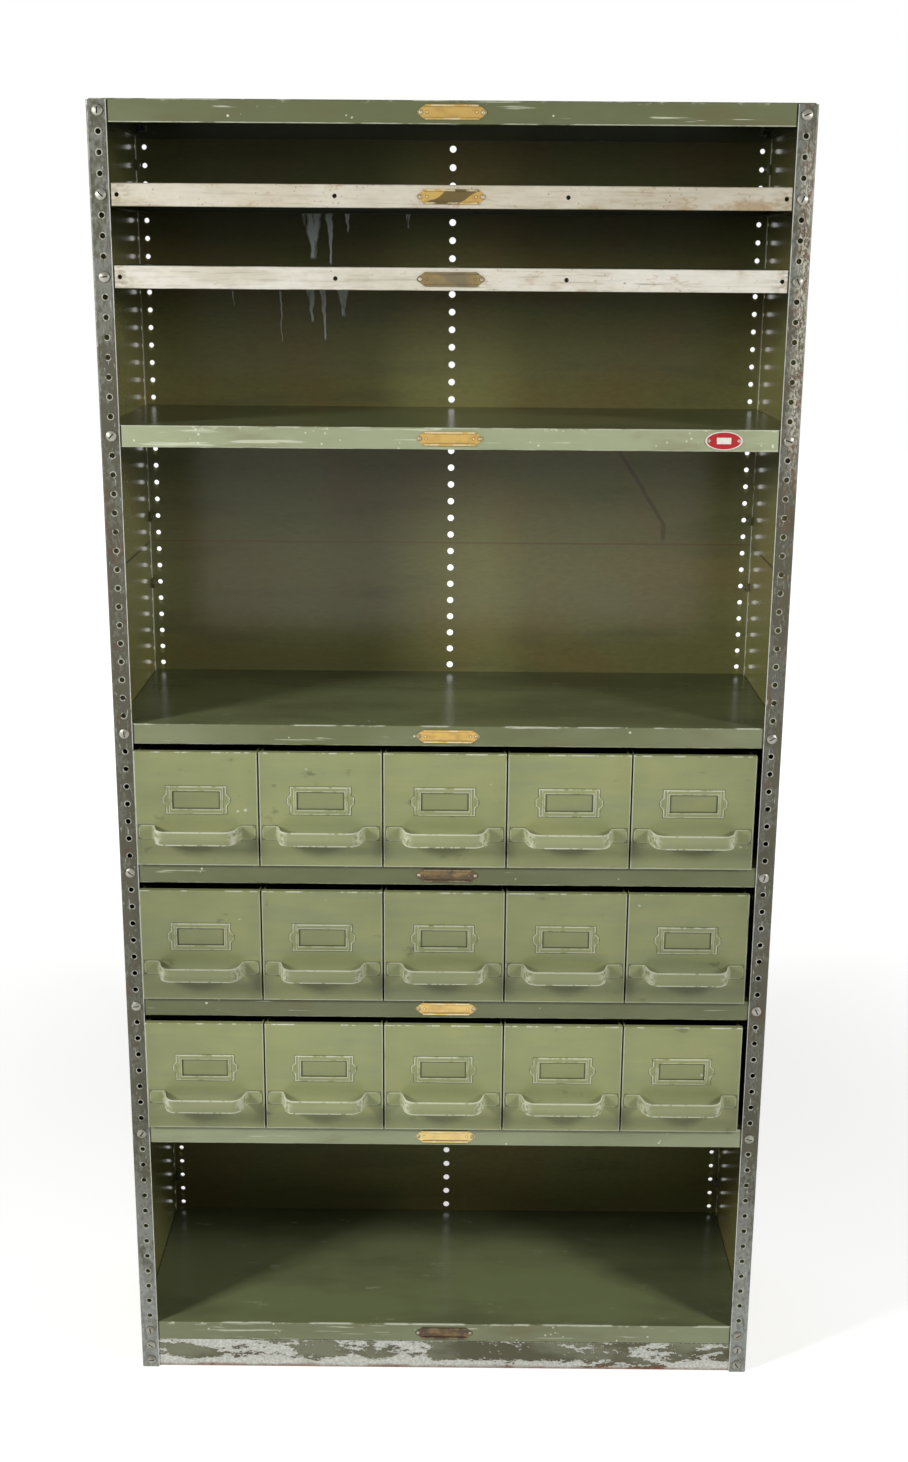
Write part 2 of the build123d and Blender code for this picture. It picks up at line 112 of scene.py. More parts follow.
# Paint runs on the back: middle, half width at the top, top and bottom
DRIPS = (
    (-0.203, 0.020, 1.710, 1.638), (-0.178, 0.007, 1.706, 1.630), (-0.152, 0.006, 1.706, 1.676),
    (-0.064, 0.006, 1.706, 1.682), (-0.205, 0.009, 1.600, 1.548), (-0.187, 0.006, 1.600, 1.522),
    (-0.158, 0.012, 1.600, 1.556), (-0.250, 0.0018, 1.590, 1.518), (-0.320, 0.0016, 1.590, 1.570),
)
# Where the brown stain on the back turns, across and up, and how far it leans left above that
STAIN_KNEE = (0.323, 1.25)
STAIN_LEAN = 0.64

# How pale, how scratched and how light each green shelf front is
GREEN_SHELVES = {
    1: (0.05, 0.4, 0.84), 4: (0.9, 1.4, 1.0), 5: (0.15, 0.3, 0.96), 6: (0.05, 0.5, 0.82),
    7: (0.08, 0.5, 0.84), 8: (0.75, 0.6, 1.0), 9: (0.3, 1.2, 1.0),
}
# How rusty each off-white shelf front is
PALE_SHELVES = {2: 1.0, 3: 0.3}
# How light the boxes of each row are, from the top
ROW_TONES = (0.95, 0.84, 1.04)

# Studio
LAMP_TALLNESS = 1.4
REAR_LIGHT = 3.5
MIRRORED_ROOM = 0.08
FLOOR_GLOW = 0.55
FLOOR_GLOW_REACH = (0.8, 3.0)
SENSOR_WIDTH = 36
CAMERA_SHIFT = -0.0416
CAMERA_CLIP = 0.05


def srgb(red, green, blue):
    """Linear colour of a screen colour given from 0 to 255."""
    def linear(level):
        share = level / 255
        return share / 12.92 if share <= 0.04045 else ((share + 0.055) / 1.055) ** 2.4
    return (linear(red), linear(green), linear(blue))


# Tones of the posts
OILED_STEEL = srgb(44, 40, 30)
POST_RUST = srgb(92, 62, 38)
HOLE_RING = srgb(196, 196, 182)
BRUSHED_STEEL = srgb(186, 188, 178)
PALE_SPECKLE = srgb(204, 198, 180)
BROWN_RUST = srgb(104, 76, 50)
CUT_EDGE = srgb(222, 222, 214)

# Tones of the sides and back
SHEET_BROWN = srgb(124, 108, 66)
SHEET_STREAK = srgb(88, 92, 62)
SIDE_SEAM = srgb(34, 30, 20)
REAR_CORNER_HIGHLIGHT = srgb(216, 218, 204)
DRIP_WHITE = srgb(226, 234, 230)
STAIN_BROWN = srgb(66, 44, 26)

# Tones of the shelves and the kick plate
FRONT_STAIN = srgb(108, 92, 56)
DULL_DECK = srgb(70, 72, 50)
DECK_SCUFF = srgb(176, 184, 160)
UNDERSIDE_SHADE = srgb(52, 54, 38)
WORN_CREAM = srgb(178, 170, 150)
BRUSH_MARK = srgb(152, 146, 126)
CREAM_STAIN = srgb(150, 112, 68)
CLEAN_CREAM = srgb(230, 228, 220)
ORANGE_RUST = srgb(160, 108, 62)
RUST_SPOT = srgb(122, 92, 62)
DIRTY_END = srgb(120, 110, 88)
CREAM_SCRATCH = srgb(126, 112, 90)
YELLOWED_CREAM = srgb(196, 180, 142)
BARE_FLANGE = srgb(96, 76, 52)
KICK_GREEN = srgb(126, 128, 104)
KICK_DARK = srgb(84, 82, 58)
FLAKE_WHITE = srgb(226, 226, 218)
FLAKE_GREY = srgb(176, 180, 166)
FLAKE_RIM = srgb(92, 70, 48)

# Tones of the boxes
BOX_OLIVE = srgb(154, 150, 98)
BOX_GREY = srgb(124, 132, 104)
BOX_DIRT_AND_SHADE = srgb(70, 74, 48)
STRAP_DULL = srgb(132, 137, 94)
STRAP_RUBBED_HIGHLIGHT = srgb(212, 212, 188)
STRAP_STREAK = srgb(182, 186, 152)
STRAP_PAINTED_SHADE = srgb(118, 124, 90)

# Tones of the fasteners, pale and dark where there are two
BOLT_PATINA = srgb(120, 116, 100)
BOLT_SLOT = srgb(22, 21, 18)
BOLT_RIM = srgb(70, 66, 54)
PLATED_TONES = (srgb(120, 118, 108), srgb(84, 78, 64))
PAINTED_TONES = (srgb(100, 101, 66), srgb(72, 72, 46))
RIVET_TONES = (srgb(196, 190, 168), srgb(140, 130, 106))

# Tones of the label holders and the badge
BRASS_TARNISH = srgb(176, 136, 76)
BRASS_SMUDGE = srgb(92, 82, 56)
BRASS_BRIGHT = srgb(250, 232, 170)
BRASS_HIGHLIGHT = srgb(250, 236, 190)
BRONZE_PALE = srgb(150, 140, 106)
BRONZE_GOLDEN = srgb(176, 146, 88)
BRONZE_HIGHLIGHT = srgb(150, 138, 106)
LABEL_SHADE = srgb(66, 52, 32)
SOILED_WHITE = srgb(206, 186, 172)
DARK_RED = srgb(138, 26, 30)


class Number:
    """One value in a graph, used in plain arithmetic."""

    def __init__(self, graph, socket):
        self.graph = graph
        self.socket = socket

    def __add__(self, other):
        return self.graph.math("ADD", self, other)

    __radd__ = __add__

    def __mul__(self, other):
        return self.graph.math("MULTIPLY", self, other)

    __rmul__ = __mul__

    def __sub__(self, other):
        return self.graph.math("SUBTRACT", self, other)

    def __rsub__(self, other):
        return self.graph.math("SUBTRACT", other, self)

    def __truediv__(self, other):
        return self.graph.math("DIVIDE", self, other)

    def __pow__(self, other):
        return self.graph.math("POWER", self, other)

    def __abs__(self):
        return self.graph.math("ABSOLUTE", self)

    def at_most(self, other):
        return self.graph.math("MINIMUM", self, other)

    def at_least(self, other):
        return self.graph.math("MAXIMUM", self, other)

    def rises(self, low, high):
        """0 below low, 1 above high and smooth between them. With low above high it falls."""
        settings = {"interpolation_type": "SMOOTHSTEP"}
        inputs = {"Value": self, "From Min": low, "From Max": high}
        return Number(self.graph, self.graph.node("ShaderNodeMapRange", settings, inputs).outputs[0])

    def near(self, centre, reach):
        """1 at the centre, falling to 0 at the reach on either side."""
        return abs(self - centre).rises(reach, 0)

    def wrapped(self, pitch, start):
        """Distance from the nearest copy of the start, from minus to plus half the pitch."""
        return self.graph.math("WRAP", self - start, pitch / 2, -pitch / 2)


class Graph:
    """A node tree under construction."""

    def __init__(self, tree):
        self.tree = tree
        tree.nodes.clear()

    def node(self, kind, settings=None, inputs=None):
        """Add a node: its settings first, then a value or a link on each named socket."""
        made = self.tree.nodes.new(kind)
        for name, value in (settings or {}).items():
            setattr(made, name, value)
        for name, value in (inputs or {}).items():
            source = value.socket if isinstance(value, Number) else value
            if isinstance(source, bpy.types.NodeSocket):
                self.tree.links.new(source, made.inputs[name])
            else:
                made.inputs[name].default_value = source
        return made

    def math(self, operation, *values):
        made = self.node("ShaderNodeMath", {"operation": operation}, dict(enumerate(values)))
        return Number(self, made.outputs[0])


class Finish(Graph):
    """One material. Its patterns read the piece's own coordinates, in metres."""

    def __init__(self, name):
        self.material = bpy.data.materials.new(name)
        self.material.use_nodes = True
        super().__init__(self.material.node_tree)
        self.place = self.node("ShaderNodeTexCoord").outputs["Object"]
        split = self.node("ShaderNodeSeparateXYZ", None, {0: self.place})
        self.x, self.y, self.z = (Number(self, socket) for socket in split.outputs)

    def mapped(self, stretch, shift):
        inputs = {"Vector": self.place, "Scale": stretch, "Location": shift}
        return self.node("ShaderNodeMapping", None, inputs).outputs[0]

    def noise(self, size, detail=3.0, stretch=(1, 1, 1), shift=(0, 0, 0), rough=0.55):
        """Cloudy pattern with features of about the given size in metres."""
        inputs = {"Vector": self.mapped(stretch, shift), "Scale": 1 / size, "Detail": detail}
        inputs["Roughness"] = rough
        return Number(self, self.node("ShaderNodeTexNoise", None, inputs).outputs[0])

    def cells(self, size, shift):
        """Distance from scattered points, in shares of the given size."""
        inputs = {"Vector": self.mapped((1, 1, 1), shift), "Scale": 1 / size}
        return Number(self, self.node("ShaderNodeTexVoronoi", None, inputs).outputs["Distance"])

    def mix(self, share, under, over):
        """Colour under, covered with the colour over by the share."""
        def colour(value):
            return (*value, 1.0) if isinstance(value, (tuple, list)) and len(value) == 3 else value
        inputs = {0: share, 6: colour(under), 7: colour(over)}
        return self.node("ShaderNodeMix", {"data_type": "RGBA"}, inputs).outputs[2]

    def shade(self, colour, level):
        """Colour made lighter or darker by a number, 1 leaving it alone."""
        scaled = self.node("ShaderNodeVectorMath", {"operation": "SCALE"}, {0: colour, "Scale": level})
        return scaled.outputs[0]

    def done(self, colour, roughness, metallic, height, bump, depth):
        """Close the material with a surface shader and its relief."""
        relief = {"Strength": bump, "Distance": depth, "Height": height}
        normal = self.node("ShaderNodeBump", None, relief).outputs[0]
        inputs = {"Base Color": colour, "Roughness": roughness, "Metallic": metallic, "IOR": 1.5}
        inputs["Normal"] = normal
        surface = self.node("ShaderNodeBsdfPrincipled", None, inputs)
        self.node("ShaderNodeOutputMaterial", None, {0: surface.outputs[0]})
        return self.material


def number_property(name, description, default, **kind):
    return bpy.props.FloatProperty(name=name, description=description, default=default, **kind)


def angle_property(name, description, degrees):
    return number_property(name, description, math.radians(degrees), subtype="ANGLE")


def colour_property(name, description, default):
    return bpy.props.FloatVectorProperty(
        name=name, description=description, default=default, subtype="COLOR", size=3, min=0, max=1
    )


class ShelvingPaint(bpy.types.PropertyGroup):
    """Colours of the painted sheet metal."""

    box_green: colour_property("Box green", "Paint of the shelf boxes", srgb(146, 152, 104))
    strap_green: colour_property("Strap green", "Rubbed paint of the handles", srgb(142, 148, 102))
    shelf_green: colour_property("Shelf green", "Paint of the shelf fronts", srgb(106, 112, 76))
    shelf_sage: colour_property("Shelf sage", "Paler paint of some shelf fronts", srgb(156, 163, 130))
    deck_green: colour_property("Deck green", "Gloss paint of the decks", srgb(114, 121, 84))
    sheet_green: colour_property("Sheet green", "Gloss paint of the sides and back", srgb(118, 117, 72))
    off_white: colour_property("Off-white", "Brushed paint of two shelf fronts", srgb(216, 212, 198))
    # Also used for the painted highlights along the handles and card frames
    pale_wear_and_highlight: colour_property("Pale wear", "Primer and bare steel at worn edges", srgb(205, 208, 184))
    rust: colour_property("Rust", "Rust along the foot of the kick plate", srgb(128, 80, 44))
    # Painted shade: this colour darkens the side sheets behind the front posts
    post_shade: colour_property("Grime", "Dark dirt behind the front posts", srgb(40, 38, 28))
    wear: number_property(
        "Wear", "How much of the paint is chipped and scratched", 1.0, min=0, max=2, subtype="FACTOR"
    )


class ShelvingMetal(bpy.types.PropertyGroup):
    """Colours of the bare and plated metal, and of the badge."""

    post_dark: colour_property("Post steel", "Dark steel of the posts", srgb(84, 82, 66))
    post_pale: colour_property("Rubbed steel", "Bluish rubbed steel of the posts", srgb(164, 168, 162))
    bolt_steel: colour_property("Bolt steel", "Bright steel of the bolts", srgb(168, 166, 154))
    brass: colour_property("Brass", "Bright label holders", srgb(222, 186, 106))
    bronze: colour_property("Bronze", "Stained label holders", srgb(92, 78, 60))
    badge_red: colour_property("Badge red", "Enamel of the oval badge", srgb(176, 34, 38))
    badge_white: colour_property("Badge white", "Rim and panel of the oval badge", srgb(232, 226, 216))


class ShelvingStudio(bpy.types.PropertyGroup):
    """Floor, lights and camera."""

    floor_size: number_property("Floor size", "Side of the square floor", 24.0, unit="LENGTH")
    lamp_size: number_property("Lamp size", "Width of each lamp", 0.45, unit="LENGTH")
    lamp_distance: number_property(
        "Lamp distance", "From the middle of the front to each lamp", 2.5, unit="LENGTH"
    )
    lamp_height: number_property("Lamp height", "Height of both lamps", 1.96, unit="LENGTH")
    lamp_angle: angle_property("Lamp angle", "How far each lamp stands to the side", 58)
    left_power: number_property("Left lamp", "Power of the left lamp", 58, unit="POWER")
    right_power: number_property("Right lamp", "Power of the right lamp", 44, unit="POWER")
    room_light: number_property("Room light", "Level of the room's light", 0.1, min=0)
    camera_place: bpy.props.FloatVectorProperty(
        name="Camera", description="Place of the camera", default=(0.0146, -2.2917, 1.6409),
        subtype="TRANSLATION",
    )
    camera_pitch: angle_property("Pitch", "How far the camera looks down", 14.178)
    camera_yaw: angle_property("Yaw", "How far the camera looks to the side", -0.185)
    camera_roll: angle_property("Roll", "How far the camera leans", 0.421)
    camera_lens: number_property("Lens", "Focal length in millimetres", 40.287, subtype="DISTANCE_CAMERA")


def assign(nodes, material):
    """Give the material to CAD nodes."""
    for name in nodes:
        mesh = frame["nodes"][name].data
        if mesh.users > 1:
            frame["nodes"][name].data = mesh = mesh.copy()
        mesh.materials[0] = material


def specks(finish, size, share, seed):
    """Scattered small chips with uneven outlines. The share is how dense they are, from 0 to 1."""
    spot = finish.cells(size, (seed, seed * 2.3, 0)).rises(0.22, 0.14)
    kept = finish.noise(size * 3, 2, shift=(0, seed, seed)).rises(1 - share, 1.04 - share)
    return spot * kept


def from_hole(finish):
    """Distance from the middle of the nearest hole in a post's front or back leg."""
    column = abs(finish.x) - HOLE_COLUMN
    hole = finish.z.wrapped(HOLE_PITCH, HOLE_PITCH / 2)
    return (column * column + hole * hole) ** 0.5


def post_finish(metal, right):
    """Dark mottled steel: paler and bluer at the foot, a ring round each hole, bright cut edges."""
    finish = Finish("post_right_steel" if right else "post_left_steel")
    x, z = abs(finish.x), finish.z
    cloud = finish.noise(0.045, 6, (1, 1, 0.4), rough=0.62)
    fine = finish.noise(0.005, 5, (1, 1, 0.6), rough=0.65)
    brushed = finish.noise(0.0022, 3, (1, 1, 0.08))
    foot = z.rises(0.45, 0.05) * 0.72
    head = z.rises(1.25, 1.7) * 0.22
    pale = (foot + head + (cloud - 0.5) * 2.4 + (fine - 0.5) * 1.6).at_least(0).at_most(1)
    colour = finish.mix(pale, metal.post_dark[:], metal.post_pale[:])
    dark = (cloud * 0.6 + fine * 0.4).rises(0.53, 0.60)
    colour = finish.mix(dark * 0.6, colour, OILED_STEEL)
    rusty = finish.noise(0.02, 5, (1, 1, 0.5), (4, 1, 2)).rises(0.56, 0.68) * z.rises(0.15, 0.5)
    colour = finish.mix(rusty * 0.45, colour, POST_RUST)
    # Pale ring round each hole: worn paint, and partly a painted highlight on the rim
    ring = from_hole(finish).rises(HOLE_RADIUS + 0.0014, HOLE_RADIUS + 0.0006) * fine.rises(0.38, 0.5)
    colour = finish.mix(ring * 0.8, colour, HOLE_RING)
    rubbed = brushed.rises(0.58, 0.68) * fine.rises(0.48, 0.6)
    colour = finish.mix(rubbed * 0.7, colour, BRUSHED_STEEL)
    if right:
        specked = finish.noise(0.0028, 5, (1, 1, 0.45), (3, 3, 3), 0.7)
        band = x.near(SIDE - 0.009, 0.013) * z.rises(1.3, 1.45) * z.rises(1.83, 1.72)
        colour = finish.mix(band * specked.rises(0.46, 0.56) * 0.8, colour, PALE_SPECKLE)
        flecks = finish.noise(0.005, 5, (1, 1, 0.5), (1, 7, 3)).rises(0.52, 0.6) * z.rises(0.95, 1.3)
        colour = finish.mix(flecks * x.rises(SIDE - 0.022, SIDE - 0.008) * 0.7, colour, BROWN_RUST)
    edge = x.rises(SIDE - LEG + 0.0011, SIDE - LEG + 0.0004) * brushed.rises(0.3, 0.45)
    colour = finish.mix(edge * 0.9, colour, CUT_EDGE)
    roughness = 0.38 + cloud * 0.25 - edge * 0.1
    return finish.done(colour, roughness, 0.35, fine * 0.6 + brushed * 0.4, 0.45, 0.0003)


class SheetPaint:
    """Green of a side or back sheet with brown clouds, and the patterns and places that it shares."""

    def __init__(self, finish, paint, depth, outer, inner):
        self.cloud = finish.noise(0.14, 5)
        self.streak = finish.noise(0.05, 5, (0.16, 0.3, 1))
        self.fine = finish.noise(0.004, 4, (0.35, 0.35, 1))
        colour = finish.mix(self.cloud.rises(0.42, 0.66) * 0.6, paint.sheet_green[:], SHEET_BROWN)
        self.colour = finish.mix(self.streak.rises(0.5, 0.7) * 0.45, colour, SHEET_STREAK)
        middle = (outer + inner) / 2
        self.inside = depth.rises(middle + 0.0002, middle - 0.0002)
        # Painted shade: darker high up inside the unit and in the lowest bay
        low_bay = abs(finish.z - LOW_BAY_MIDDLE).rises(0.13, 0.05)
        self.painted_shade = (finish.z.rises(*SHADE_HEIGHTS) * 0.5 + low_bay * 0.2) * self.inside

    def seam(self, finish, colour, width, share, dark):
        """Colour with the line where the upper and lower sheets meet."""
        line = abs(finish.z - SEAM).rises(width, 0.0006) * self.streak.rises(0.2, 0.5)
        return finish.mix(line * share, colour, dark)

    def closed(self, finish, colour, smooth, bump):
        """The sheet's material. Smooth is the least roughness of its gloss."""
        roughness = smooth + self.streak * 0.14 + self.cloud * 0.06
        return finish.done(colour, roughness, 0.0, self.cloud * 3 + self.fine * 0.2, bump, 0.0008)


def side_sheet_finish(paint, level):
    """Gloss green with a dark seam, painted shade high up inside, in the lowest bay and behind the front
    posts, painted light over the whole sheet, and a painted highlight down the rear corner.
    """
    finish = Finish(f"side_sheet_{level}")
    low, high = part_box("side_panel_right_upper")
    sheet = SheetPaint(finish, paint, abs(finish.x), low.x, high.x)
    # Painted shade inside, and painted light over the whole side sheet
    dark = sheet.painted_shade - SIDES_PAINTED_LIGHTER
    colour = finish.shade(sheet.colour, (0.82 + sheet.fine * 0.36) * (1 - dark))
    colour = sheet.seam(finish, colour, 0.0024, 0.9, SIDE_SEAM)
    colour = finish.mix(specks(finish, 0.012, 0.28, 3.1) * 0.6, colour, paint.pale_wear_and_highlight[:])
    # Painted highlight: a bright line down the rear corner
    rear = finish.y.rises(BACK - 0.0122, BACK - 0.0102) * sheet.inside * sheet.streak.rises(0.3, 0.45)
    colour = finish.mix(rear * 0.9, colour, REAR_CORNER_HIGHLIGHT)
    # Painted shade on the side sheets behind the front posts
    behind_post = finish.y.rises(FRONT + 0.10, FRONT + 0.05) * sheet.inside
    colour = finish.mix(behind_post * 0.85, colour, paint.post_shade[:])
    return sheet.closed(finish, colour, 0.06, 0.1)


def paint_runs(finish):
    """1 inside the runs of pale paint, each narrower towards its bottom end."""
    wander = (finish.noise(0.03, 2, (0.2, 1, 1)) - 0.5) * 0.012
    runs = 0.0
    for place, width, top, bottom in DRIPS:
        narrowing = (finish.z - bottom) / (top - bottom)
        reach = narrowing.at_least(0.25).at_most(1) * width
        run = (abs(finish.x - place + wander) / reach).rises(1, 0.55)
        above = finish.z.rises(bottom - 0.003, bottom + 0.003)
        below = finish.z.rises(top + 0.003, top - 0.003)
        runs = run * above * below + runs
    ragged = finish.noise(0.012, 4, (1, 1, 0.25)).rises(0.30, 0.46)
    return runs.at_most(1) * ragged


def back_sheet_finish(paint, level):
    """Gloss green with a thin brown seam, painted shade high up, in the lowest bay and in the fourth bay,
    and on the upper sheet paint runs and a brown stain.
    """
    finish = Finish(f"back_sheet_{level}")
    low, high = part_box("back_panel_upper")
    x, z = finish.x, finish.z
    sheet = SheetPaint(finish, paint, finish.y, low.y, high.y)
    below_fourth = z.rises(*SHADOW_ABOVE)
    shadow = x.near(*BACK_SHADOW) * below_fourth * z.rises(*SHADOW_BELOW)
    # Painted shade: the soft shadow in the fourth bay, and a darker left half there
    dark = sheet.painted_shade + (shadow * 0.26 + x.rises(0.0, -0.2) * below_fourth * 0.22) * sheet.inside
    colour = finish.shade(sheet.colour, (0.82 + sheet.fine * 0.36) * (1 - dark))
    colour = sheet.seam(finish, colour, 0.0020, 0.6, BROWN_RUST)
    colour = finish.mix(specks(finish, 0.012, 0.28, 3.1) * 0.6, colour, paint.pale_wear_and_highlight[:])
    if level == "upper":
        colour = finish.mix(paint_runs(finish) * sheet.inside * 0.95, colour, DRIP_WHITE)
        lean = (z - STAIN_KNEE[1]).at_least(0) * STAIN_LEAN
        stain = x - STAIN_KNEE[0] + lean + (sheet.cloud - 0.5) * 0.012
        line = abs(stain).rises(0.0048, 0.0018) * z.rises(1.222, 1.23) * z.rises(1.375, 1.34)
        colour = finish.mix(line * sheet.inside * 0.5, colour, STAIN_BROWN)
    return sheet.closed(finish, colour, 0.13, 0.25)


def flange_face(finish, low):
    """1 on the front face of a shelf's flange, 0 behind it."""
    return finish.y.rises(low.y + 0.0016, low.y + 0.0010)


def shelf_deck(finish, paint, cloud):
    """Gloss green of a deck with duller clouds."""
    return finish.mix(cloud.rises(0.4, 0.7) * 0.5, paint.deck_green[:], DULL_DECK)


def shade_underside(finish, colour, high, front):
    """Colour with a shelf's underside darkened: painted shade."""
    under = (high.z - finish.z).rises(SHELF_WALL * 0.6, SHELF_WALL * 0.9) * (1 - front)
    return finish.mix(under * 0.45, colour, UNDERSIDE_SHADE)


def flange_colour(finish, paint, shelf, sage, scratched, level, cloud):
    """Matt green of a shelf's front, between dark and sage, with stains, scratches and chips."""
    tone = (cloud - 0.5) * 1.3 + sage
    colour = finish.mix(tone.at_least(0).at_most(1), paint.shelf_green[:], paint.shelf_sage[:])
    stain = finish.noise(0.09, 5, (0.6, 1, 1.6), (shelf * 3.3, 0, 2))
    colour = finish.mix(stain.rises(0.52, 0.72) * 0.4, colour, FRONT_STAIN)
    if shelf == SHELVES[-1]:
        rubbed = finish.x.rises(0.05, 0.42) * 0.3
        colour = finish.mix(rubbed, colour, paint.shelf_sage[:])
    colour = finish.shade(colour, level * (0.9 + finish.noise(0.02, 5, (0.3, 1, 1)) * 0.2))
    lines = finish.noise(0.012, 4, (0.10, 1, 2.2), (shelf * 5.1, 0, 0))
    scratches = lines.rises(0.70 - 0.07 * scratched, 0.76 - 0.07 * scratched)
    chips = specks(finish, 0.009, 0.30 + 0.12 * scratched, shelf * 1.37)
    worn = (scratches * 0.7 + chips).at_most(1) * paint.wear
    return finish.mix(worn, colour, paint.pale_wear_and_highlight[:])


def shelf_finish(paint, shelf, sage, scratched, level):
    """Shelf pan: matt front flange with chipped edges, gloss deck and painted shade on the underside."""
    finish = Finish(f"shelf_{shelf}_green")
    low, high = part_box(f"shelf_{shelf}")
    y, z = finish.y, finish.z
    cloud = finish.noise(0.11, 4, (0.4, 1, 1), (0, shelf * 1.7, 0))
    fine = finish.noise(0.004, 4, (0.35, 1, 1), (shelf, 0, 0))
    # Painted shade: each deck darkens towards the back
    deck = finish.shade(shelf_deck(finish, paint, cloud), 0.94 - y.rises(-0.02, BACK) * 0.3)
    scuffs = finish.noise(0.03, 6, (0.5, 1.6, 1), (shelf, 3, 0), 0.7).rises(0.62, 0.70)
    deck = finish.mix(scuffs * 0.22, deck, DECK_SCUFF)
    deck = finish.mix(specks(finish, 0.016, 0.3, shelf * 0.77) * 0.7, deck, paint.pale_wear_and_highlight[:])
    front = flange_face(finish, low)
    colour = finish.mix(front, deck, flange_colour(finish, paint, shelf, sage, scratched, level, cloud))
    ragged = (fine - 0.5) * 0.0012
    at_top = (high.z - z + ragged).rises(0.0016, 0.0005)
    at_bottom = (z - low.z + ragged).rises(0.0016, 0.0004)
    worn = finish.noise(0.03, 4, (0.5, 1, 1), (shelf * 2.9, 0, 0))
    top_worn = worn.rises(0.54 - 0.08 * scratched, 0.62 - 0.08 * scratched)
    edge = at_top * top_worn + at_bottom * worn.rises(0.40, 0.5)
    edge = edge * y.rises(low.y + 0.004, low.y + 0.002)
    flaking = finish.noise(0.009, 5, (0.5, 1, 1), (shelf, 9, 0)).rises(0.60, 0.66)
    flaked = (high.z - z).rises(0.0055, 0.001) * flaking
    edge = edge + flaked * front * scratched * 0.8
    colour = finish.mix(edge.at_most(1) * 0.85, colour, paint.pale_wear_and_highlight[:])
    colour = shade_underside(finish, colour, high, front)
    roughness = 0.16 + front * 0.28 + fine * 0.12
    return finish.done(colour, roughness, 0.0, fine + cloud * 4, 0.25, 0.0005)


def pale_shelf_finish(paint, shelf, rusty):
    """Shelf whose front flange is brushed off-white over the green, with rust and dirt."""
    finish = Finish(f"shelf_{shelf}_off_white")
    low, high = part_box(f"shelf_{shelf}")
    x, z = finish.x, finish.z
    fine = finish.noise(0.004, 4, (0.4, 1, 1), (shelf, 0, 0))
    cloud = finish.noise(0.07, 4, (0.45, 1, 1.2), (shelf * 4.1, 0, 0))
    brushed = finish.noise(0.0035, 4, (0.05, 1, 1), (shelf * 2.2, 0, 0))
    cream = finish.mix(cloud.rises(0.35, 0.7) * 0.5, paint.off_white[:], WORN_CREAM)
    cream = finish.mix(brushed.rises(0.5, 0.66) * 0.45, cream, BRUSH_MARK)
    patch = finish.noise(0.04, 6, (0.5, 1, 1.2), (shelf * 7.7, 0, 1), 0.66)
    right = x.rises(-0.05, 0.40) * 0.09
    low_down = (high.z - z) * 3
    stained = patch + low_down + right + (fine - 0.5) * 0.25
    stained = stained.rises(0.66 - rusty * 0.05, 0.90 - rusty * 0.05)
    cream = finish.mix(stained * 0.75, cream, CREAM_STAIN)
    clean = finish.noise(0.05, 5, (0.35, 1, 1), (shelf * 1.3, 4, 0)).rises(0.48, 0.6) * (1 - stained)
    cream = finish.mix(clean * 0.6, cream, CLEAN_CREAM)
    orange = finish.noise(0.018, 6, (0.6, 1, 1.3), (shelf * 6.1, 2, 2), 0.7).rises(0.60, 0.68)
    cream = finish.mix(orange * (0.3 + rusty * 0.35), cream, ORANGE_RUST)
    spots = specks(finish, 0.006, 0.36 + 0.1 * rusty, shelf * 1.9)
    cream = finish.mix(spots * 0.8, cream, RUST_SPOT)
    ends = (abs(x) + (cloud - 0.5) * 0.06).rises(0.395, 0.43) * fine.rises(0.42, 0.58)
    cream = finish.mix(ends * 0.55, cream, DIRTY_END)
    lines = finish.noise(0.012, 4, (0.08, 1, 2.0), (shelf * 5.3, 0, 0)).rises(0.66, 0.72)
    cream = finish.mix(lines * 0.6, cream, CREAM_SCRATCH)
    cream = finish.mix(rusty * 0.35, cream, YELLOWED_CREAM)
    cream = finish.shade(cream, 1.04 - rusty * 0.12 - x.rises(0, 0.4) * rusty * 0.12 + (fine - 0.5) * 0.2)
    front = flange_face(finish, low)
    colour = finish.mix(front, shelf_deck(finish, paint, cloud), cream)
    ragged = (fine - 0.5) * 0.0016
    edges = (high.z - z + ragged).rises(0.0014, 0.0004) + (z - low.z + ragged).rises(0.0014, 0.0004)
    edges = edges.at_most(1) * cloud.rises(0.45, 0.6) * front
    colour = finish.mix(edges * 0.6, colour, BARE_FLANGE)
    colour = shade_underside(finish, colour, high, front)
    roughness = 0.34 + front * 0.2 + fine * 0.1
    return finish.done(colour, roughness, 0.0, fine * 1.2 + stained * 0.5, 0.35, 0.0004)


